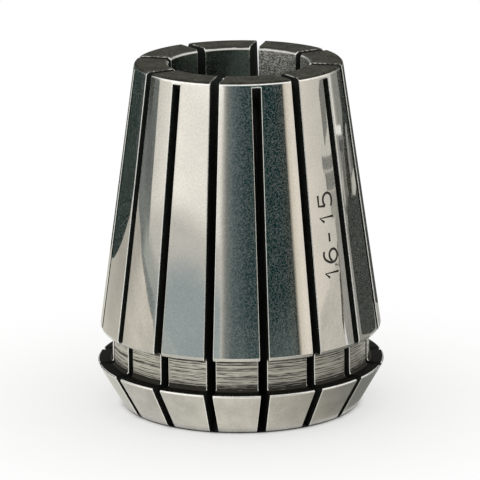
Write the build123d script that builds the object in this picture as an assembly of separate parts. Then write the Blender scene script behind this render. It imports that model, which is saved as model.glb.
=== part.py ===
from build123d import *
import os
from math import radians, sqrt, tan

# A spring collet of the ER pattern, clamping range 16 to 15 mm. It is one piece of
# hardened steel: turned, bored and ground, then sawn from both ends into sixteen
# springy segments. It stands on its nose, and +Z runs up the bore to the narrow end.

# Driving dimensions, in millimetres and degrees.

# Body, from the nose up.
overall_length = 40.0
head_diameter = 33.0
head_height = 5.2
head_land = 0.2             # straight edge at the widest place, between nose cone and groove
nose_half_angle = 30.0
groove_width = 3.8
groove_depth = 1.4          # from the large end of the taper
groove_corner_round = 0.4
head_lip = 0.3              # how far the head stands out beyond the taper
taper_half_angle = 8.0

# Bore.
bore_diameter = 16.0

# Broken edges.
bore_chamfer = 0.35
rear_chamfer = 0.25
taper_chamfer = 0.25
front_chamfer = 0.25

# Slots, cut by a thin disc saw that travels along the bore.
slots_per_end = 8
slot_width = 1.0
saw_diameter = 63.0
saw_past_axis = 1.9         # how far the saw's rim reaches beyond the bore's axis
rear_web = 0.6              # length of wall left behind a front slot, measured on the taper
front_breakthrough = 0.7    # how far a rear slot cuts into the edge of the front face

# Sizes that follow.
bore_radius = bore_diameter / 2
head_radius = head_diameter / 2
taper_radius = head_radius - head_lip
neck_radius = taper_radius - groove_depth
groove_top = head_height + groove_width
land_bottom = head_height - head_land
front_radius = head_radius - land_bottom * tan(radians(nose_half_angle))
saw_radius = saw_diameter / 2
saw_centre = saw_radius - saw_past_axis


def taper_radius_at(height):
    """Radius of the long ground taper at a height above the nose."""
    return taper_radius - (height - groove_top) * tan(radians(taper_half_angle))


def turned_body():
    """The body before it is slotted: nose cone, nut groove, long taper and bore."""
    chamfer_drop = front_chamfer * tan(radians(nose_half_angle))
    taper_start = groove_top + taper_chamfer
    shoulder = overall_length - rear_chamfer
    mouth_radius = bore_radius + bore_chamfer
    corners = [
        # radius from the axis, height, rounding
        (mouth_radius, 0, 0),
        (front_radius - front_chamfer, 0, 0),
        (front_radius + chamfer_drop, front_chamfer, 0),
        (head_radius, land_bottom, 0),
        (head_radius, head_height, 0),
        (neck_radius, head_height, groove_corner_round),
        (neck_radius, groove_top, groove_corner_round),
        (taper_radius - taper_chamfer, groove_top, 0),
        (taper_radius_at(taper_start), taper_start, 0),
        (taper_radius_at(shoulder), shoulder, 0),
        (taper_radius_at(shoulder) - rear_chamfer, overall_length, 0),
        (mouth_radius, overall_length, 0),
        (bore_radius, overall_length - bore_chamfer, 0),
        (bore_radius, bore_chamfer, 0),
    ]
    points = [(radius, height) for radius, height, rounding in corners]
    rounds = [rounding for radius, height, rounding in corners]
    half_section = make_face(FilletPolyline(*points, radius=rounds, close=True))
    return revolve(Plane.XZ * half_section, Axis.Z)


def saw_cut(end_radius, end_height, mouth_height):
    """
    What the disc saw removes in the plane y = 0. It comes in past mouth_height and
    stops when its rim passes through the point at end_radius and end_height, so the
    slot's end is an arc that falls away towards the bore.
    """
    rim_offset = sqrt(saw_radius**2 - (saw_centre - end_radius) ** 2)
    direction = 1 if end_height > mouth_height else -1
    stop_height = end_height - direction * rim_offset
    travel = abs(stop_height - mouth_height)
    track = Pos(saw_centre, (stop_height + mouth_height) / 2) * Rectangle(saw_diameter, travel)
    swept = track + Pos(saw_centre, stop_height) * Circle(saw_radius)
    return extrude(Plane.XZ * swept, slot_width / 2, both=True)


def slotted(body):
    """The body with a set of slots from each end, which alternate round the bore."""
    front_end = overall_length - rear_web
    front_slot = saw_cut(taper_radius_at(front_end), front_end, -saw_diameter)
    rear_slot = saw_cut(front_radius - front_breakthrough, 0, overall_length + saw_diameter)
    half_pitch = 180 / slots_per_end
    rear_slots = [place * rear_slot for place in PolarLocations(0, slots_per_end)]
    front_slots = [place * front_slot for place in PolarLocations(0, slots_per_end, half_pitch)]
    return body - rear_slots - front_slots


os.makedirs("parts", exist_ok=True)
export_step(slotted(turned_body()), "parts/collet.step")
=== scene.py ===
"""Finish and studio for a 33 mm spring collet: one slotted steel body on a pale table."""

import math

import bmesh
import bpy
from mathutils import Matrix, Vector


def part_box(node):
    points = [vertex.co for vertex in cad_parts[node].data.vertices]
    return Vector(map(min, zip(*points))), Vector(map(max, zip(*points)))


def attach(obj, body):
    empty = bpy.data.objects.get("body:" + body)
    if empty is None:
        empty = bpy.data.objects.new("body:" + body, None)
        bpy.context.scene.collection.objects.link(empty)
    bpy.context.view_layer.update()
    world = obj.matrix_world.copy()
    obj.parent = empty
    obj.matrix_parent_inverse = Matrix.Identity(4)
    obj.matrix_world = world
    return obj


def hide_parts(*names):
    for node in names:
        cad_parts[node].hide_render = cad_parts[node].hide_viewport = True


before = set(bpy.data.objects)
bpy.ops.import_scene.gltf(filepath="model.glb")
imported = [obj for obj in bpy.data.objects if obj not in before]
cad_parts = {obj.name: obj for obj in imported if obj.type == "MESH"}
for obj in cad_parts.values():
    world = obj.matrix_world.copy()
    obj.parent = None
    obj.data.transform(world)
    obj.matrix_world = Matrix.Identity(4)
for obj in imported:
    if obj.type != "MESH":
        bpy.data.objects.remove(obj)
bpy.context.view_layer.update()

MM = 0.001

# Sizes of the collet, in millimetres, with angles turned from degrees. The length comes
# from the frame.
LENGTH = (Vector(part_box("collet")[1]) / MM).z
HEAD_RADIUS = 16.5
HEAD_HEIGHT = 5.2
HEAD_LAND = 0.2
HEAD_LIP = 0.3
NOSE_HALF_ANGLE = math.radians(30)
GROOVE_WIDTH = 3.8
GROOVE_DEPTH = 1.4
TAPER_HALF_ANGLE = math.radians(8)
BORE_RADIUS = 8.0
BORE_CHAMFER = 0.35
REAR_CHAMFER = 0.25
TAPER_CHAMFER = 0.25
FRONT_CHAMFER = 0.25
SLOTS_PER_END = 8
SLOT_WIDTH = 1.0
SAW_RADIUS = 31.5
SAW_PAST_AXIS = 1.9
REAR_WEB = 0.6
FRONT_BREAKTHROUGH = 0.7

# Sizes that follow.
GROOVE_TOP = HEAD_HEIGHT + GROOVE_WIDTH
TAPER_RADIUS = HEAD_RADIUS - HEAD_LIP
NECK_RADIUS = TAPER_RADIUS - GROOVE_DEPTH
SAW_CENTRE = SAW_RADIUS - SAW_PAST_AXIS
FRONT_RADIUS = HEAD_RADIUS - (HEAD_HEIGHT - HEAD_LAND) * math.tan(NOSE_HALF_ANGLE)
PITCH = math.pi / SLOTS_PER_END

# How fine the mesh is, and how its faces are told apart.
COLUMNS = 14             # facets across one segment
SLOT_COLUMNS = 2         # facets across a web, behind a slot
SAW_ARC_POINTS = 14
EDGE_BREAK = 0.09        # from each sawn edge to where its rounding ends
BREAK_STEPS = 3
ROUND_STEPS = 4
SAWN_EDGE_ANGLE = math.radians(40)
SHARP_ANGLE = math.radians(38)
HAIR = 0.001             # less than any size of the part
WEB_SHARE = 0.2          # a web lies within this share of the length from its end

# How far from a corner one finish gives way to the next, measured to the middle of a face.
CHAMFER_MARGIN = 0.03
GROOVE_MARGIN = 0.02
ROUNDING_MARGIN = 0.1
BREAK_MARGIN = 0.12
BRIGHT_BAND = 0.2        # bare steel with a painted highlight, below the rear chamfer and along the head's edge

# The marked clamping range, on the segment between two slots, reading up the taper.
MARK = "16-15"
MARK_ANGLE = math.radians(-33.2)
MARK_HEIGHT = 21.9
MARK_PITCH = 2.1
MARK_SIZE = 2.05
MARK_STROKE = 0.29

# Each character's strokes, for a cutter that starts at the first point: across from its
# middle and up from its foot, in parts of its height. A round stroke bends through its points.
STROKES = {
    "1": [("straight", [(-0.16, 0.70), (0.10, 1.0), (0.10, 0.0)])],
    "5": [("straight", [(0.34, 1.0), (-0.26, 1.0), (-0.30, 0.55)]),
          ("round", [(-0.30, 0.55), (0.02, 0.66), (0.34, 0.50), (0.36, 0.18), (0.04, 0.0), (-0.36, 0.08)])],
    "6": [("round", [(0.30, 0.95), (0.0, 0.98), (-0.28, 0.72), (-0.36, 0.36), (-0.20, 0.05),
                     (0.14, 0.0), (0.35, 0.22), (0.26, 0.50), (-0.04, 0.58), (-0.30, 0.42)])],
    "-": [("straight", [(-0.24, 0.45), (0.24, 0.45)])],
}

# The view, from a little above, so that the rear face and the bore show.
TARGET = Vector((0, 0, LENGTH / 2))
VIEW_AZIMUTH = math.radians(13.05)
VIEW_ELEVATION = math.radians(14.36)
VIEW_DISTANCE = 458.8
VIEW_TILT = math.radians(-0.121)
VIEW_ROLL = math.radians(-0.47)
SENSOR = 36.0
LENS = 300.0

# The studio, in millimetres: a pale table, a wall of light and shade round it, and cards.
TABLE_RADIUS = 150.0
TABLE_SIDES = 96
WALL_RADIUS = 300.0
WALL_SIDES = 128
WALL_BOTTOM = -90.0
WALL_TOP = 150.0
CARD_LEVEL = 0.2         # the lowest card on the table
CARD_GAP = 0.05          # from each card up to the next
FOOT_CARD_LEVEL = 0.15
FOOT_CARD_RADIUS = 52.0
FOOT_CARD_GAP = 0.5      # from the foot to the card's inner edge
FOOT_CARD_TURN = 110     # degrees to each side of the camera
FOOT_CARD_STEPS = 44


def taper_radius_at(height):
    """Radius of the long ground taper at a height above the nose."""
    return TAPER_RADIUS - (height - GROOVE_TOP) * math.tan(TAPER_HALF_ANGLE)


def taper_top():
    """Height where the taper starts to round over into the rear chamfer."""
    return LENGTH - REAR_CHAMFER - BRIGHT_BAND


# ---- The slotted body ----

def saw_arc(end_radius, end_height, towards):
    """
    The saw's rim where a slot ends, as points from the outside surface to the bore.
    The rim passes through the point at end_radius and end_height; towards is 1 for a
    slot that ends near the rear, and -1 for one that ends near the nose.
    """
    def rim(radius):
        return math.sqrt(SAW_RADIUS**2 - (SAW_CENTRE - radius)**2)

    centre = end_height - towards * rim(end_radius)
    span = end_radius - BORE_RADIUS
    radii = [end_radius - span * i / SAW_ARC_POINTS for i in range(SAW_ARC_POINTS + 1)]
    return [Vector((radius, 0, centre + towards * rim(radius))) for radius in radii]


def half_section():
    """
    The half section in the plane y = 0, as three faces: the rear web behind a front
    slot, the middle, and the front web below a rear slot.
    """
    shoulder = LENGTH - REAR_CHAMFER
    mouth = BORE_RADIUS + BORE_CHAMFER
    nose_drop = FRONT_CHAMFER * math.tan(NOSE_HALF_ANGLE)
    rear_arc = saw_arc(taper_radius_at(LENGTH - REAR_WEB), LENGTH - REAR_WEB, 1)
    front_arc = saw_arc(FRONT_RADIUS - FRONT_BREAKTHROUGH, 0, -1)
    taper_start = GROOVE_TOP + TAPER_CHAMFER
    corners = [
        # radius from the axis, height, rounding
        (mouth, 0, 0.1),
        (front_arc[0].x, 0, 0),
        (FRONT_RADIUS - FRONT_CHAMFER, 0, 0.15),
        (FRONT_RADIUS + nose_drop, FRONT_CHAMFER, 0.3),
        (HEAD_RADIUS, HEAD_HEIGHT - HEAD_LAND, 0.15),
        (HEAD_RADIUS, HEAD_HEIGHT, 0.14),
        (NECK_RADIUS, HEAD_HEIGHT, 0.4),
        (NECK_RADIUS, GROOVE_TOP, 0.4),
        (TAPER_RADIUS - TAPER_CHAMFER, GROOVE_TOP, 0.15),
        (taper_radius_at(taper_start), taper_start, 0.5),
        (rear_arc[0].x, rear_arc[0].z, 0),
        (taper_radius_at(shoulder), shoulder, 0.35),
        (taper_radius_at(shoulder) - REAR_CHAMFER, LENGTH, 0.1),
        (mouth, LENGTH, 0.15),
        (BORE_RADIUS, LENGTH - BORE_CHAMFER, 0.15),
        (BORE_RADIUS, rear_arc[-1].z, 0),
        (BORE_RADIUS, front_arc[-1].z, 0),
        (BORE_RADIUS, BORE_CHAMFER, 0.15),
    ]
    bm = bmesh.new()
    verts = [bm.verts.new((radius, 0, height)) for radius, height, rounding in corners]
    bm.faces.new(verts)
    for vert, (radius, height, rounding) in zip(verts, corners):
        if rounding:
            sides = [edge.other_vert(vert).co - vert.co for edge in vert.link_edges]
            reach = rounding / math.tan(sides[0].angle(sides[1]) / 2)
            bmesh.ops.bevel(bm, geom=[vert], affect="VERTICES", offset=reach,
                            segments=ROUND_STEPS, profile=0.5, material=-1)
    for arc in (rear_arc, front_arc):
        ends = [min(bm.verts, key=lambda v: (v.co - end).length) for end in (arc[0], arc[-1])]
        face = next(f for f in bm.faces if ends[0] in f.verts and ends[1] in f.verts)
        bmesh.utils.face_split(face, *ends, coords=[tuple(p) for p in arc[1:-1]])
    return bm


def sector(bm, section, start, end, columns):
    """
    Sweeps faces of the half section round the bore, from one sawn plane to another.
    start and end are each an angle and a side: the plane lies half a slot's width to
    that side of the slot at that angle, so the walls of a slot come out parallel.
    Returns the swept faces as (face, at_start, at_end).
    """
    old_verts, old_faces = set(bm.verts), set(bm.faces)
    # The first turn is one radian, so that a point's angle is its share of the sweep.
    copy = bmesh.ops.duplicate(bm, geom=section)["geom"]
    bmesh.ops.spin(bm, geom=[part for part in copy if isinstance(part, bmesh.types.BMFace)],
                   cent=(0, 0, 0), axis=(0, 0, 1), angle=1.0, steps=columns, use_merge=False)
    turn = {v: math.atan2(v.co.y, v.co.x) for v in bm.verts if v not in old_verts}
    swept = [f for f in bm.faces if f not in old_faces]
    sides = [(f, all(turn[v] < HAIR for v in f.verts), all(turn[v] > 1 - HAIR for v in f.verts))
             for f in swept]
    for vert, share in turn.items():
        radius = vert.co.xy.length
        half_slot = math.asin(SLOT_WIDTH / 2 / radius)
        first = start[0] + start[1] * half_slot
        last = end[0] + end[1] * half_slot
        angle = first + (last - first) * share
        vert.co.x, vert.co.y = radius * math.cos(angle), radius * math.sin(angle)
    return sides


def slotted_body():
    """The whole collet in millimetres: sixteen segments joined by the webs at the slots' ends."""
    bm = half_section()
    section = list(bm.faces)
    height = {face: face.calc_center_median().z for face in section}
    rear_web = max(section, key=height.get)
    front_web = min(section, key=height.get)
    inner = []

    def is_web(face, rear):
        level = face.calc_center_median().z
        return level > (1 - WEB_SHARE) * LENGTH if rear else level < WEB_SHARE * LENGTH

    for slot in range(2 * SLOTS_PER_END):
        # Even slots are open at the rear, so only the front web crosses them.
        starts_open_at_rear = slot % 2 == 0
        here, there = slot * PITCH, (slot + 1) * PITCH
        for face, at_start, at_end in sector(bm, section, (here, 1), (there, -1), COLUMNS):
            rear_side = at_start != starts_open_at_rear
            if (at_start or at_end) and is_web(face, rear_side):
                inner.append(face)
        web = front_web if starts_open_at_rear else rear_web
        for face, at_start, at_end in sector(bm, [web], (here, -1), (here, 1), SLOT_COLUMNS):
            if at_start or at_end:
                inner.append(face)
    bmesh.ops.delete(bm, geom=inner + section, context="FACES")
    bmesh.ops.remove_doubles(bm, verts=bm.verts, dist=HAIR / 2)
    bmesh.ops.recalc_face_normals(bm, faces=bm.faces)
    return bm


def is_sawn(face):
    """True for a slot's two walls and for the arc at its end."""
    centre = face.calc_center_median()
    slot_angle = round(math.atan2(centre.y, centre.x) / PITCH) * PITCH
    across = Vector((-math.sin(slot_angle), math.cos(slot_angle), 0))
    if abs(centre.dot(across)) > SLOT_WIDTH / 2 + HAIR:
        return False
    if abs(face.normal.dot(across)) > 0.9:
        return True
    # Between the walls, only the arc at a slot's end faces the slot's open end.
    return face.normal.z < -0.3 if centre.z > LENGTH / 2 else face.normal.z > 0.3


def break_edges(bm):
    """Rounds every edge that the saw left, and returns the faces of the rounding."""
    sawn = {face for face in bm.faces if is_sawn(face)}
    edges = [e for e in bm.edges
             if len(e.link_faces) == 2 and sum(f in sawn for f in e.link_faces) == 1
             and e.calc_face_angle_signed() > SAWN_EDGE_ANGLE]
    made = bmesh.ops.bevel(bm, geom=edges, affect="EDGES", offset=EDGE_BREAK,
                           segments=BREAK_STEPS, profile=0.5, material=-1)
    return made["faces"]


def finish_at(face):
    """The name of the finish that the shop gives to the surface where this face lies, with painted shade on
    the flank and a painted highlight on the bright bands.
    """
    centre = face.calc_center_median()
    radius = centre.xy.length
    if is_sawn(face):
        return "sawn_wall"
    if radius < BORE_RADIUS + BORE_CHAMFER - CHAMFER_MARGIN:
        rim = BORE_CHAMFER + ROUNDING_MARGIN
        return "honed_bore" if rim < centre.z < LENGTH - rim else "bore_rim"
    if centre.z > LENGTH - REAR_CHAMFER + CHAMFER_MARGIN:
        return "rear_oxide"
    # The band below the rear chamfer: bare steel with a painted highlight.
    if centre.z > taper_top():
        return "bare_steel_painted_highlight"
    if centre.z > GROOVE_TOP + GROOVE_MARGIN:
        return "ground_taper"
    if centre.z > HEAD_HEIGHT + GROOVE_MARGIN:
        return "turned_groove"
    # On the head's land: the flank's oxide with painted shade, and the edge's bare steel with a painted
    # highlight.
    if centre.z > HEAD_HEIGHT - HEAD_LAND - ROUNDING_MARGIN:
        return "flank_oxide_painted_shade" if radius < HEAD_RADIUS - BRIGHT_BAND else "bare_steel_painted_highlight"
    return "satin_head"


def edge_finish(face):
    """The finish of a broken edge: black with painted shade on the flank, dull at the rear, bare steel with
    a painted highlight elsewhere.
    """
    centre = face.calc_center_median()
    on_flank = abs(centre.z - HEAD_HEIGHT) < BREAK_MARGIN
    if on_flank and centre.xy.length < HEAD_RADIUS - 2 * BRIGHT_BAND:
        return "flank_oxide_painted_shade"
    return "dull_edge" if centre.z > LENGTH - BREAK_MARGIN else "bare_steel_painted_highlight"


def engraving(words):
    """A round cutter's path through words that read up the taper, wrapped on its surface."""
    curve = bpy.data.curves.new("strokes", "CURVE")
    curve.dimensions = "3D"
    curve.bevel_depth = MARK_STROKE / 2
    curve.bevel_resolution = 2
    curve.use_fill_caps = True
    curve.resolution_u = 5
    for place, character in enumerate(words):
        middle = (place - (len(words) - 1) / 2) * MARK_PITCH
        for kind, points in STROKES[character]:
            spline = curve.splines.new("BEZIER")
            spline.bezier_points.add(len(points) - 1)
            for point, (across, up) in zip(spline.bezier_points, points):
                point.co = (middle + across * MARK_SIZE, (up - 0.5) * MARK_SIZE, 0)
                handle = "AUTO" if kind == "round" else "VECTOR"
                point.handle_left_type = handle
                point.handle_right_type = handle
    holder = bpy.data.objects.new("strokes", curve)
    bpy.context.collection.objects.link(holder)
    bpy.context.view_layer.update()
    graph = bpy.context.evaluated_depsgraph_get()
    mesh = bpy.data.meshes.new_from_object(holder.evaluated_get(graph))
    bpy.data.objects.remove(holder)
    for vert in mesh.vertices:
        along, up, out = vert.co
        height = MARK_HEIGHT + along * math.cos(TAPER_HALF_ANGLE)
        radius = taper_radius_at(height) + out
        angle = MARK_ANGLE - up / radius
        vert.co = Vector((radius * math.cos(angle), radius * math.sin(angle), height)) * MM
    return mesh


def new_object(name, mesh):
    """Links a mesh to the scene as an object at the origin."""
    made = bpy.data.objects.new(name, mesh)
    bpy.context.collection.objects.link(made)
    return made


def collet_body(materials):
    """The finished body, with its rounded edges, its mark and a finish on every surface."""
    finishes = list(materials)
    bm = slotted_body()
    edges = set(break_edges(bm))
    for face in bm.faces:
        finish = edge_finish(face) if face in edges else finish_at(face)
        face.material_index = finishes.index(finish)
        face.smooth = True
    bmesh.ops.scale(bm, vec=(MM, MM, MM), verts=bm.verts)
    mesh = bpy.data.meshes.new("collet_body")
    bm.to_mesh(mesh)
    bm.free()
    for material in materials.values():
        mesh.materials.append(material)
    body = new_object("collet_body", mesh)
    strokes = engraving(MARK)
    strokes.materials.clear()
    strokes.materials.append(materials["engraved_mark"])
    cutter = new_object("cutter", strokes)
    cut = body.modifiers.new("engraving", "BOOLEAN")
    cut.operation = "DIFFERENCE"
    cut.solver = "EXACT"
    cut.use_self = True
    cut.object = cutter
    bpy.context.view_layer.update()
    graph = bpy.context.evaluated_depsgraph_get()
    body.data = bpy.data.meshes.new_from_object(body.evaluated_get(graph))
    body.modifiers.clear()
    bpy.data.objects.remove(cutter)
    body.data.name = "collet_body"
    body.data.set_sharp_from_angle(angle=SHARP_ANGLE)
    shading = body.modifiers.new("even_shading", "WEIGHTED_NORMAL")
    shading.keep_sharp = True
    return body


# ---- Finishes ----

class Value:
    """A shader socket that does sums: an expression on it adds the Math nodes it needs."""

    def __init__(self, graph, socket):
        self.graph = graph
        self.socket = socket

    def math(self, operation, first, second):
        return self.graph.node("ShaderNodeMath", {"operation": operation}, {0: first, 1: second})

    def __add__(self, other):
        return self.math("ADD", self, other)

    def __sub__(self, other):
        return self.math("SUBTRACT", self, other)

    def __rsub__(self, other):
        return self.math("SUBTRACT", other, self)

    def __mul__(self, other):
        return self.math("MULTIPLY", self, other)

    def __truediv__(self, other):
        return self.math("DIVIDE", self, other)

    def __rtruediv__(self, other):
        return self.math("DIVIDE", other, self)

    def arctan2(self, other):
        """The angle in radians whose sine and cosine go as this value and another."""
        return self.math("ARCTAN2", self, other)

    __radd__ = __add__
    __rmul__ = __mul__


class Graph:
    """The node tree of a material or of the world."""

    def __init__(self, owner):
        owner.use_nodes = True
        self.tree = owner.node_tree
        self.tree.nodes.clear()

    def node(self, kind, settings=None, inputs=None, output=0):
        """Adds a node: its settings first, then a value or a link for each named input."""
        made = self.tree.nodes.new(kind)
        for name, value in (settings or {}).items():
            if name == "stops":
                ramp = made.color_ramp
                while len(ramp.elements) < len(value):
                    ramp.elements.new(0.5)
                for element, (place, colour) in zip(ramp.elements, value):
                    element.position = place
                    element.color = (*colour, 1)
            else:
                setattr(made, name, value)
        for name, value in (inputs or {}).items():
            if isinstance(value, Value):
                self.tree.links.new(value.socket, made.inputs[name])
            else:
                made.inputs[name].default_value = value
        return Value(self, made.outputs[output]) if made.outputs else None

    def place(self):
        """Object coordinates in millimetres."""
        point = self.node("ShaderNodeTexCoord", output="Object")
        return self.node("ShaderNodeVectorMath", {"operation": "SCALE"}, {0: point, "Scale": 1 / MM})

    def stretched(self, scale):
        """Object coordinates in millimetres, times a scale along each axis."""
        return self.node("ShaderNodeVectorMath", {"operation": "MULTIPLY"}, {0: self.place(), 1: scale})

    def axes(self, vector):
        """The x, y and z of a vector."""
        parts = self.node("ShaderNodeSeparateXYZ", inputs={0: vector}).socket.node
        return [Value(self, parts.outputs[axis]) for axis in "XYZ"]

    def height(self):
        """Height above the table, in millimetres."""
        return self.axes(self.place())[2]

    def from_axis(self):
        """How far a point lies from the bore's axis, in millimetres."""
        flat = self.stretched((1, 1, 0))
        return self.node("ShaderNodeVectorMath", {"operation": "LENGTH"}, {0: flat}, output="Value")

    def along(self, direction):
        """How far a point lies along a direction, in millimetres."""
        return self.node("ShaderNodeVectorMath", {"operation": "DOT_PRODUCT"},
                         {0: self.place(), 1: direction}, output="Value")

    def round_the_bore(self, around, along):
        """Coordinates unrolled from the collet: the angle round the bore, then height, each scaled."""
        x, y, z = self.axes(self.place())
        return self.node("ShaderNodeCombineXYZ", inputs={0: y.arctan2(x) * around, 1: z * along})

    def noise(self, scale, detail=2.0, roughness=0.5, vector=None):
        """Fractal noise, by default with its scale in features per millimetre."""
        return self.node("ShaderNodeTexNoise", inputs={
            "Vector": vector or self.place(), "Scale": scale, "Detail": detail, "Roughness": roughness})

    def between(self, value, low, high, to_low=0.0, to_high=1.0):
        """Maps a value smoothly from one range to another and holds it at the ends."""
        return self.node("ShaderNodeMapRange", {"interpolation_type": "SMOOTHSTEP"},
                         {0: value, 1: low, 2: high, 3: to_low, 4: to_high})

    def mix(self, share, first, second):
        """A colour between two others."""
        made = self.node("ShaderNodeMix", {"data_type": "RGBA"}, {"Factor": share}, output="Result")
        node = made.socket.node
        for place, colour in ((6, first), (7, second)):
            if isinstance(colour, Value):
                self.tree.links.new(colour.socket, node.inputs[place])
            else:
                node.inputs[place].default_value = (*colour, 1)
        return Value(self, node.outputs[2])

    def bump(self, height, depth):
        """Relief of the given depth in millimetres."""
        return self.node("ShaderNodeBump", inputs={"Height": height, "Distance": depth * MM})

    def surface(self, shader):
        """Ends the graph in a shader."""
        self.node("ShaderNodeOutputMaterial", inputs={"Surface": shader})

    def steel(self, **inputs):
        """Ends the graph in the shader for solid surfaces, with the named inputs."""
        named = {name.replace("_", " "): value for name, value in inputs.items()}
        self.surface(self.node("ShaderNodeBsdfPrincipled", inputs=named))


def new_graph(name):
    """A new material, and the graph of its nodes."""
    material = bpy.data.materials.new(name)
    return material, Graph(material)


def ground_taper():
    """Bright ground steel, sanded all over with the fine dull grain that the wheel leaves."""
    material, g = new_graph("ground_taper")
    grain = g.noise(5.0, 2.0, 0.6)
    dull = g.between(grain, 0.36, 0.70)
    tint = g.between(g.noise(4.2, 2.0, 0.7), 0.40, 0.60)
    cloud = g.between(g.noise(0.3, 2.0), 0.3, 0.7)
    lines = g.between(g.noise(1.0, 2.0, 0.5, g.round_the_bore(0.9, 0.02)), 0.35, 0.65)
    colour = g.mix(cloud * 0.3 + lines * 0.3 + tint * 0.4, (0.515, 0.505, 0.485), (0.63, 0.615, 0.58))
    g.steel(Base_Color=colour, Metallic=1.0 - dull * 0.135, Roughness=0.012 + dull * 0.03)
    return material


def turned_groove():
    """Turned steel with brown-black scale left in the tool marks and in the lower corner, and painted shade
    in the upper corner under the taper.
    """
    material, g = new_graph("turned_groove")
    rings = g.noise(1.0, 2.5, 0.6, g.round_the_bore(0.6, 7.5))
    pits = g.noise(1.0, 2.0, 0.6, g.round_the_bore(9.0, 9.0))
    low_corner = g.between(g.height(), HEAD_HEIGHT + 0.9, HEAD_HEIGHT + 0.2) * 0.16
    # Painted shade: darker at the top of the groove, where the taper's overhang shades it.
    painted_shade_under_taper = g.between(g.height(), GROOVE_TOP - 0.8, GROOVE_TOP) * 0.10
    bare = g.between(rings * 0.65 + pits * 0.35 - (low_corner + painted_shade_under_taper), 0.41, 0.55)
    g.steel(Base_Color=g.mix(bare, (0.028, 0.025, 0.018), (0.60, 0.58, 0.52)),
            Metallic=g.between(bare, 0.0, 1.0, 0.1, 1.0), Roughness=g.between(bare, 0.0, 1.0, 0.65, 0.34),
            Normal=g.bump(rings * 0.6 + pits * 0.4, 0.05), Specular_IOR_Level=0.2)
    return material


def satin_head():
    """Fine satin steel on the nose cone."""
    material, g = new_graph("satin_head")
    cloud = g.noise(0.45, 3.0)
    grain = g.noise(5.0, 2.5)
    share = g.between(cloud * 0.65 + grain * 0.35, 0.35, 0.65)
    g.steel(Base_Color=g.mix(share, (0.50, 0.485, 0.45), (0.62, 0.605, 0.57)), Metallic=1.0,
            Roughness=g.between(cloud, 0.3, 0.7, 0.24, 0.34), Normal=g.bump(grain, 0.01))
    return material


def rear_oxide():
    """Brown-black oxide on the rear face."""
    material, g = new_graph("rear_oxide")
    grain = g.noise(3.0, 3.0, 0.6)
    cloud = g.noise(0.6, 2.0)
    share = g.between(grain * 0.6 + cloud * 0.4, 0.38, 0.62)
    g.steel(Base_Color=g.mix(share, (0.014, 0.0135, 0.0080), (0.052, 0.050, 0.035)), Metallic=0.0,
            Roughness=g.between(grain, 0.3, 0.7, 0.72, 0.58), Normal=g.bump(grain, 0.02),
            Specular_IOR_Level=0.10)
    return material


def flank_oxide_painted_shade():
    """Black oxide on the flank of the head, inside the groove, darkened further as painted shade."""
    material, g = new_graph("flank_oxide_painted_shade")
    grain = g.noise(3.0, 3.0)
    g.steel(Base_Color=g.mix(g.between(grain, 0.3, 0.7), (0.004, 0.004, 0.003), (0.013, 0.0125, 0.009)),
            Metallic=0.0, Roughness=g.between(grain, 0.3, 0.7, 0.6, 0.75),
            Normal=g.bump(grain, 0.015), Specular_IOR_Level=0.05)
    return material


def sawn_wall():
    """Black walls of the slots, with the saw's faint scratches."""
    material, g = new_graph("sawn_wall")
    marks = g.noise(1.0, 3.0, 0.6, g.stretched((6.0, 6.0, 1.2)))
    colour = g.mix(g.between(marks, 0.3, 0.7), (0.006, 0.008, 0.006), (0.018, 0.021, 0.017))
    g.steel(Base_Color=colour, Metallic=0.0, Roughness=g.between(marks, 0.3, 0.7, 0.5, 0.7),
            Normal=g.bump(marks, 0.02), Specular_IOR_Level=0.25)
    return material


def honed_bore():
    """Grey-green honed steel inside the bore, scored rough along one side."""
    material, g = new_graph("honed_bore")
    marks = g.noise(1.0, 3.0, 0.6, g.stretched((4.0, 4.0, 7.0)))
    scratches = g.between(g.noise(1.0, 1.0, 0.5, g.round_the_bore(0.55, 0.01)), 0.60, 0.66)
    scored_side = (0.55, 0.83, 0.0)
    scored = g.between(g.along(scored_side), 0.78 * BORE_RADIUS, 0.86 * BORE_RADIUS)
    smooth = g.mix(g.between(marks, 0.35, 0.65), (0.21, 0.26, 0.22), (0.29, 0.34, 0.30))
    rough = g.mix(g.between(marks, 0.42, 0.58), (0.16, 0.165, 0.15), (0.68, 0.68, 0.64))
    smooth = g.mix(scratches, smooth, (0.75, 0.76, 0.73))
    g.steel(Base_Color=g.mix(scored, smooth, rough), Metallic=1.0,
            Roughness=g.between(marks, 0.3, 0.7, 0.21, 0.28) + scored * 0.25 + scratches * 0.1,
            Normal=g.bump(marks * (scored * 0.8 + 0.2), 0.08))
    return material


def bore_rim():
    """The chamfers of the bore: oxide, with bare steel next to the wall of the bore."""
    material, g = new_graph("bore_rim")
    wear = g.noise(1.2, 2.0)
    worn = g.between(g.from_axis() + wear * 0.12, BORE_RADIUS + 0.25, BORE_RADIUS + 0.17)
    g.steel(Base_Color=g.mix(worn, (0.035, 0.033, 0.024), (0.62, 0.61, 0.57)), Metallic=worn,
            Roughness=g.between(wear, 0.3, 0.7, 0.4, 0.3), Specular_IOR_Level=0.2)
    return material


def bare_steel_painted_highlight():
    """Bare steel along the broken edges, its colour raised past steel's as a painted highlight."""
    material, g = new_graph("bare_steel_painted_highlight")
    wear = g.noise(2.5, 2.0)
    colour = g.mix(g.between(wear, 0.3, 0.6), (0.82, 0.81, 0.78), (0.95, 0.94, 0.91))
    g.steel(Base_Color=colour, Metallic=1.0, Roughness=g.between(wear, 0.3, 0.7, 0.32, 0.22))
    return material


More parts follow.
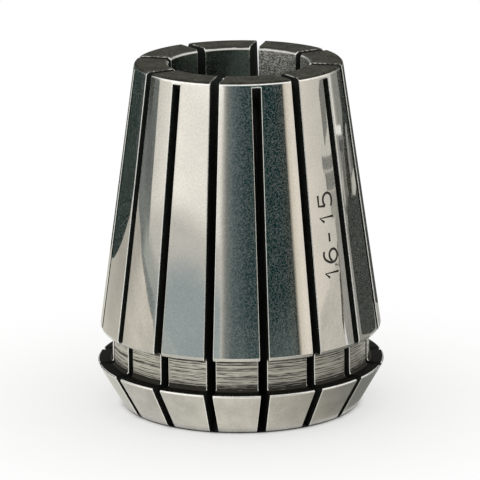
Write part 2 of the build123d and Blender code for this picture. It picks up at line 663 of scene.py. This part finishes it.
def dull_edge():
    """Edges with oxide worn half through."""
    material, g = new_graph("dull_edge")
    wear = g.noise(2.0, 3.0)
    colour = g.mix(g.between(wear, 0.40, 0.62), (0.05, 0.046, 0.038), (0.45, 0.44, 0.41))
    g.steel(Base_Color=colour, Metallic=0.8, Roughness=g.between(wear, 0.3, 0.7, 0.5, 0.35))
    return material


def engraved_mark():
    """Dark brown burn in the engraved strokes."""
    material, g = new_graph("engraved_mark")
    soot = g.noise(8.0, 2.0)
    colour = g.mix(g.between(soot, 0.3, 0.7), (0.014, 0.011, 0.008), (0.04, 0.032, 0.024))
    g.steel(Base_Color=colour, Metallic=0.0, Roughness=g.between(soot, 0.3, 0.7, 0.6, 0.8))
    return material


# ---- Studio ----

def pale_table():
    """The table top: pale by the foot, and the white of the background farther out."""
    bm = bmesh.new()
    bmesh.ops.create_circle(bm, cap_ends=True, segments=TABLE_SIDES, radius=TABLE_RADIUS * MM)
    mesh = bpy.data.meshes.new("table")
    bm.to_mesh(mesh)
    bm.free()
    material, g = new_graph("table")
    reach = g.from_axis()
    ray = g.node("ShaderNodeLightPath").socket.node
    camera_ray, glossy_ray, through_ray = (Value(g, ray.outputs[name]) for name in (
        "Is Camera Ray", "Is Glossy Ray", "Is Transmission Ray"))
    fade = g.between(reach, HEAD_RADIUS, 3 * HEAD_RADIUS, 0.55, 1.0)
    fade = fade * g.between(reach, FRONT_RADIUS - 0.4, FRONT_RADIUS + 0.8)
    fade = fade * (camera_ray + glossy_ray + through_ray)
    # Painted shade under the foot, which shows only through the slots and down the bore.
    beyond_foot = g.between(reach, FRONT_RADIUS - 0.3, FRONT_RADIUS + 0.1)
    colour = g.mix(beyond_foot, (0.02, 0.02, 0.02), (0.90, 0.895, 0.88))
    paper = g.node("ShaderNodeBsdfDiffuse", inputs={"Color": colour})
    white = g.node("ShaderNodeEmission", inputs={"Color": (1, 1, 1, 1), "Strength": 1.0})
    g.surface(g.node("ShaderNodeMixShader", inputs={0: fade, 1: paper, 2: white}))
    mesh.materials.append(material)
    table = new_object("table", mesh)


def only_in_reflections(card):
    """Marks a studio card, which the steel mirrors and nothing else sees."""
    card.visible_camera = False
    card.visible_diffuse = False
    card.visible_shadow = False
    card.visible_transmission = False


def laid_card(name, level, bm, colour):
    """Lays a card on the table, turned with the camera, at a level in millimetres."""
    bmesh.ops.translate(bm, vec=(0, 0, level), verts=bm.verts)
    bmesh.ops.rotate(bm, cent=(0, 0, 0), matrix=Matrix.Rotation(VIEW_AZIMUTH, 3, "Z"), verts=bm.verts)
    bmesh.ops.scale(bm, vec=(MM, MM, MM), verts=bm.verts)
    mesh = bpy.data.meshes.new(name)
    bm.to_mesh(mesh)
    bm.free()
    material, g = new_graph(name)
    g.surface(g.node("ShaderNodeEmission", inputs={"Color": colour(g), "Strength": 1.0}))
    mesh.materials.append(material)
    only_in_reflections(new_object(name, mesh))


def boards():
    """
    Cards that lie on the table, each on top of those before it. A corner is how far to the
    right and how far towards the camera it lies. Where a card shades off, it gets brighter by
    a factor, between two distances along a heading in degrees from the camera, to the right.
    """
    even = (1.0, 0, 0, 1)
    cards = [
        ("grey_board", (0.44, 0.44, 0.41), even,
         [(13, -30), (60, 0), (290, -5), (290, -290), (13, -290)]),
        ("back_board", (0.20, 0.20, 0.175), even,
         [(100, -95), (290, -95), (290, -290), (100, -290)]),
        ("far_board", (0.055, 0.063, 0.055), even,
         [(13, -40), (100, -66), (106, -130), (144, -182), (144, -290), (13, -290)]),
        ("dark_board", (0.050, 0.058, 0.050), even,
         [(44, -34), (78, -24), (196, -82), (212, -100), (206, -118), (160, -120), (104, -126),
          (60, -128), (44, -66)]),
        ("pale_patch", (0.68, 0.68, 0.61), even,
         [(104, -128), (120, -122), (150, -123), (154, -137), (116, -144)]),
        ("grey_strip", (0.42, 0.43, 0.41), even,
         [(140, -143), (160, -140), (176, -158), (186, -187), (160, -187), (156, -162)]),
        ("dark_strip", (0.025, 0.025, 0.016), even,
         [(160, -126), (172, -112), (206, -128), (230, -160), (222, -178), (192, -178)]),
        ("black_board", (0.02, 0.028, 0.022), even,
         [(136, -160), (150, -172), (160, -187), (182, -188), (196, -174), (230, -174),
          (290, -290), (136, -290)]),
        ("white_patch", (0.58, 0.58, 0.54), even,
         [(224, -106), (232, -94), (290, -122), (290, -150)]),
        ("teal_board", (0.020, 0.040, 0.034), even,
         [(13, -70), (-60, -74), (-170, -97), (-290, -118), (-290, -290), (13, -290)]),
        ("wall_foot", (0.29, 0.325, 0.325), (1.9, 0, 45, 110),
         [(-290, -60), (-180, -60), (-180, 220), (-290, 220)]),
        ("beige_board", (0.60, 0.575, 0.51), (1.45, 0, -55, 5),
         [(13, -20), (13, -70), (-60, -74), (-170, -97), (-290, -118), (-290, -50),
          (-266, -18), (-252, 13), (-230, 38), (-200, 75), (-36, 75), (-36, -20)]),
        ("foot_line", (0.30, 0.31, 0.29), even,
         [(-290, -55), (-266, -18), (-252, 13), (-230, 38), (-200, 75), (-188, 90), (-196, 92),
          (-212, 75), (-240, 38), (-262, 13), (-275, -14), (-290, -40)]),
        ("cream_board", (0.80, 0.765, 0.69), even,
         [(62, 3), (150, 4), (203, -7), (290, -20), (290, 115), (62, 115)]),
        ("brown_edge", (0.11, 0.095, 0.07), even,
         [(118, 4), (150, 4), (203, -7), (290, -20), (290, -29), (203, -15), (150, -2)]),
        ("rod", (0.10, 0.095, 0.07), even,
         [(246, -18), (280, 1), (278, 4), (244, -16)]),
    ]
    for place, (name, tone, (factor, heading, start, end), corners) in enumerate(cards):
        bm = bmesh.new()
        bm.faces.new([bm.verts.new((right, -front, 0)) for right, front in corners])

        def shaded(g):
            turn = math.radians(heading) + VIEW_AZIMUTH
            reach = g.along((math.sin(turn), -math.cos(turn), 0))
            mottle = g.between(g.noise(0.02, 2.0), 0.3, 0.7, 0.93, 1.07)
            glow = g.between(reach, start, end, 1.0, factor) * mottle
            return g.node("ShaderNodeVectorMath", {"operation": "SCALE"}, {0: tone, "Scale": glow})

        laid_card(name, CARD_LEVEL + CARD_GAP * place, bm, shaded)


def azimuth_from_camera(g):
    """Where a point lies round the bore, in degrees from the camera to the right."""
    # Turned so that the camera's own direction lies at an angle of zero.
    turned = g.node("ShaderNodeMapping", {"vector_type": "POINT"},
                    {"Vector": g.place(), "Rotation": (0, 0, math.radians(90) - VIEW_AZIMUTH)})
    x, y = g.axes(turned)[:2]
    return y.arctan2(x) * math.degrees(1)


def tone_at(g, azimuth, tones):
    """The colour at an azimuth, from a list of azimuths and their tones."""
    stops = [(0.5 + at / 360, tone) for at, tone in tones]
    return g.node("ShaderNodeValToRGB", {"stops": stops}, {0: azimuth / 360 + 0.5})


def foot_card():
    """Part of a ring round the foot, brighter on the left, which the head and the neck mirror."""
    tones = [(-110, (0.80, 0.81, 0.76)), (-45, (0.75, 0.75, 0.70)), (-15, (0.90, 0.88, 0.81)),
             (3, (0.88, 0.85, 0.78)), (48, (0.39, 0.38, 0.34)), (70, (0.25, 0.26, 0.24))]
    bm = bmesh.new()
    inner = bm.verts.new((0, -(FRONT_RADIUS + FOOT_CARD_GAP), 0))
    outer = bm.verts.new((0, -FOOT_CARD_RADIUS, 0))
    rim = bm.edges.new((inner, outer))
    bmesh.ops.rotate(bm, cent=(0, 0, 0), verts=bm.verts,
                     matrix=Matrix.Rotation(math.radians(-FOOT_CARD_TURN), 3, "Z"))
    bmesh.ops.spin(bm, geom=[inner, outer, rim], cent=(0, 0, 0), axis=(0, 0, 1),
                   angle=math.radians(2 * FOOT_CARD_TURN), steps=FOOT_CARD_STEPS, use_merge=False)

    def shaded(g):
        return tone_at(g, azimuth_from_camera(g), tones)

    laid_card("foot_card", FOOT_CARD_LEVEL, bm, shaded)


def studio_wall():
    """
    A ring of soft boxes, reflectors and dark cards. Azimuths are in degrees from the
    camera, to the right.
    """
    tones = [
        # the open back of the room
        (-180, (0.50, 0.50, 0.47)), (-160, (0.40, 0.40, 0.38)),
        # a dark green card, and a grey reflector
        (-156, (0.02, 0.04, 0.035)), (-127, (0.02, 0.04, 0.035)), (-104, (0.14, 0.16, 0.155)),
        (-94.5, (0.26, 0.26, 0.25)),
        # the large soft box, feathered at its right edge
        (-93.0, (0.98, 0.95, 0.87)), (-60, (1.38, 1.34, 1.25)), (-18, (1.22, 1.19, 1.12)),
        (-15, (0.62, 0.62, 0.57)), (-12, (0.26, 0.28, 0.27)),
        # a slate card that the soft box grazes
        (-6, (0.105, 0.155, 0.16)), (6, (0.024, 0.06, 0.062)), (25, (0.004, 0.034, 0.032)),
        (38, (0.012, 0.04, 0.04)), (46.8, (0.04, 0.05, 0.04)),
        # a warm reflector, brightest near its edge
        (48.6, (0.92, 0.85, 0.72)), (54, (1.15, 1.07, 0.96)), (100, (0.82, 0.80, 0.73)),
        # the grey side of the room, and a dark doorway
        (115, (0.74, 0.74, 0.68)), (119, (0.36, 0.37, 0.33)), (131, (0.34, 0.35, 0.32)),
        (133, (0.06, 0.065, 0.055)), (152, (0.02, 0.025, 0.02)),
        # the open back again
        (160, (0.40, 0.40, 0.38)), (180, (0.50, 0.50, 0.47)),
    ]
    # A window's panes and a bright rail on the right. Each has its first and last azimuth, its
    # bottom and top at the first of them, how far it falls for each degree, and its tone.
    panes = [
        (93.2, 106, 19.5, 30, 0.0, (0.285, 0.285, 0.26)),
        (86.5, 106, 18.9, 21.4, 0.55, (0.31, 0.31, 0.285)),
        (88.5, 106, 14.0, 17.4, 0.55, (0.31, 0.31, 0.285)),
        (92.5, 106, 6.5, 11.5, 0.55, (0.50, 0.49, 0.44)),
        (96, 106, -10, 4, 0.0, (0.42, 0.41, 0.37)),
        (112.6, 114.6, 9.0, 40, 0.0, (1.20, 1.20, 1.14)),
        (112.6, 116.4, -20, 10.2, 0.67, (0.45, 0.46, 0.43)),
        (116.4, 131, -20, 7.2, 0.67, (0.26, 0.27, 0.25)),
        (112, 124, 10.4, 12.2, 0.67, (1.25, 1.25, 1.20)),
        (116.4, 131, 4.2, 6.4, 0.67, (0.12, 0.13, 0.12)),
    ]
    side_fade = 0.3
    level_fade = 0.2
    bm = bmesh.new()
    bmesh.ops.create_cone(bm, cap_ends=False, segments=WALL_SIDES, radius1=WALL_RADIUS * MM,
                          radius2=WALL_RADIUS * MM, depth=(WALL_TOP - WALL_BOTTOM) * MM)
    bmesh.ops.translate(bm, vec=(0, 0, (WALL_TOP + WALL_BOTTOM) / 2 * MM), verts=bm.verts)
    mesh = bpy.data.meshes.new("studio_wall")
    bm.to_mesh(mesh)
    bm.free()
    material, g = new_graph("studio_wall")
    azimuth = azimuth_from_camera(g)
    height = g.height()
    tone = tone_at(g, azimuth, tones)

    def stretch(first, last, fade):
        """1 between two azimuths, fading to 0 outside them."""
        return g.between(azimuth, first - fade, first) * g.between(azimuth, last + fade, last)

    # The soft box ends below in a bowed grey border, over a blue-grey wall, and brightens above.
    bow = (azimuth + 30.0) * (azimuth + 30.0)
    over_border = height + bow * 0.0054 - 28.9
    over_wall = height + bow * 0.0077 - 20.3
    box = stretch(-94, -17, 2)
    tone = g.mix(box * g.between(over_border, 3.5, -3.5), tone, (0.80, 0.78, 0.73))
    tone = g.mix(box * g.between(over_wall, 5.0, -4.0), tone, (0.465, 0.545, 0.56))
    tone = g.mix(box * g.between(height, 46.0, 58.0) * 0.4, tone, (1.6, 1.58, 1.52))
    # Its left edge leans, beside a dark card with a pale foot.
    leaning = g.between(azimuth + height * 0.16, -87.4, -88.6)
    tone = g.mix(stretch(-108, -84, 2) * leaning, tone, (0.195, 0.215, 0.205))
    tone = g.mix(stretch(-114, -103, 3) * g.between(height, 14.0, 24.0), tone, (0.06, 0.07, 0.06))
    tone = g.mix(stretch(-101, -96, 2) * g.between(height, 26.0, 18.0), tone, (0.16, 0.18, 0.17))
    tone = g.mix(stretch(-106, -91, 4) * g.between(height, 14.0, 5.0), tone, (0.24, 0.265, 0.255))
    tone = g.mix(stretch(-90, -76, 6) * g.between(height, 9.0, 3.0), tone, (0.49, 0.53, 0.49))
    # A faint glow off the table below the slate card.
    tone = g.mix(stretch(-2, 44, 2) * g.between(height, 18.0, 2.0) * 0.09, tone, (0.85, 1.0, 1.0))
    for first, last, bottom, top, fall, pane in panes:
        level = height + (azimuth - first) * fall
        inside = g.between(level, bottom - level_fade, bottom + level_fade)
        inside = inside * g.between(level, top + level_fade, top - level_fade)
        tone = g.mix(stretch(first, last, side_fade) * inside, tone, pane)
    g.surface(g.node("ShaderNodeEmission", inputs={"Color": tone, "Strength": 1.0}))
    mesh.materials.append(material)
    only_in_reflections(new_object("studio_wall", mesh))


def white_sky():
    """White to the camera and in reflections, and soft even light on everything else."""
    world = bpy.data.worlds.new("sky")
    bpy.context.scene.world = world
    g = Graph(world)
    sky = g.node("ShaderNodeBackground", inputs={"Color": (1, 1, 1, 1), "Strength": 1.0})
    g.node("ShaderNodeOutputWorld", inputs={"Surface": sky})


def camera():
    """The camera, tilted and rolled a little away from a straight view of the collet."""
    back = Vector((math.sin(VIEW_AZIMUTH) * math.cos(VIEW_ELEVATION),
                   -math.cos(VIEW_AZIMUTH) * math.cos(VIEW_ELEVATION), math.sin(VIEW_ELEVATION)))
    right = Vector((math.cos(VIEW_AZIMUTH), math.sin(VIEW_AZIMUTH), 0))
    forward = -back
    up = right.cross(forward)
    forward, up = (forward * math.cos(VIEW_TILT) + up * math.sin(VIEW_TILT),
                   up * math.cos(VIEW_TILT) - forward * math.sin(VIEW_TILT))
    right, up = (right * math.cos(VIEW_ROLL) + up * math.sin(VIEW_ROLL),
                 up * math.cos(VIEW_ROLL) - right * math.sin(VIEW_ROLL))
    data = bpy.data.cameras.new("camera")
    data.sensor_width = SENSOR
    data.lens = LENS
    data.clip_start = 10 * MM
    made = bpy.data.objects.new("camera", data)
    bpy.context.collection.objects.link(made)
    turn = Matrix((right, up, -forward)).transposed().to_4x4()
    made.matrix_world = Matrix.Translation((TARGET + back * VIEW_DISTANCE) * MM) @ turn
    bpy.context.scene.camera = made


materials = {make.__name__: make() for make in (
    ground_taper, turned_groove, satin_head, rear_oxide, flank_oxide_painted_shade, sawn_wall, honed_bore,
    bore_rim, bare_steel_painted_highlight, dull_edge, engraved_mark)}
body = collet_body(materials)
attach(body, "root")
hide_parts("collet")
pale_table()
boards()
foot_card()
studio_wall()
white_sky()
camera()
bpy.context.scene.view_settings.view_transform = "Standard"
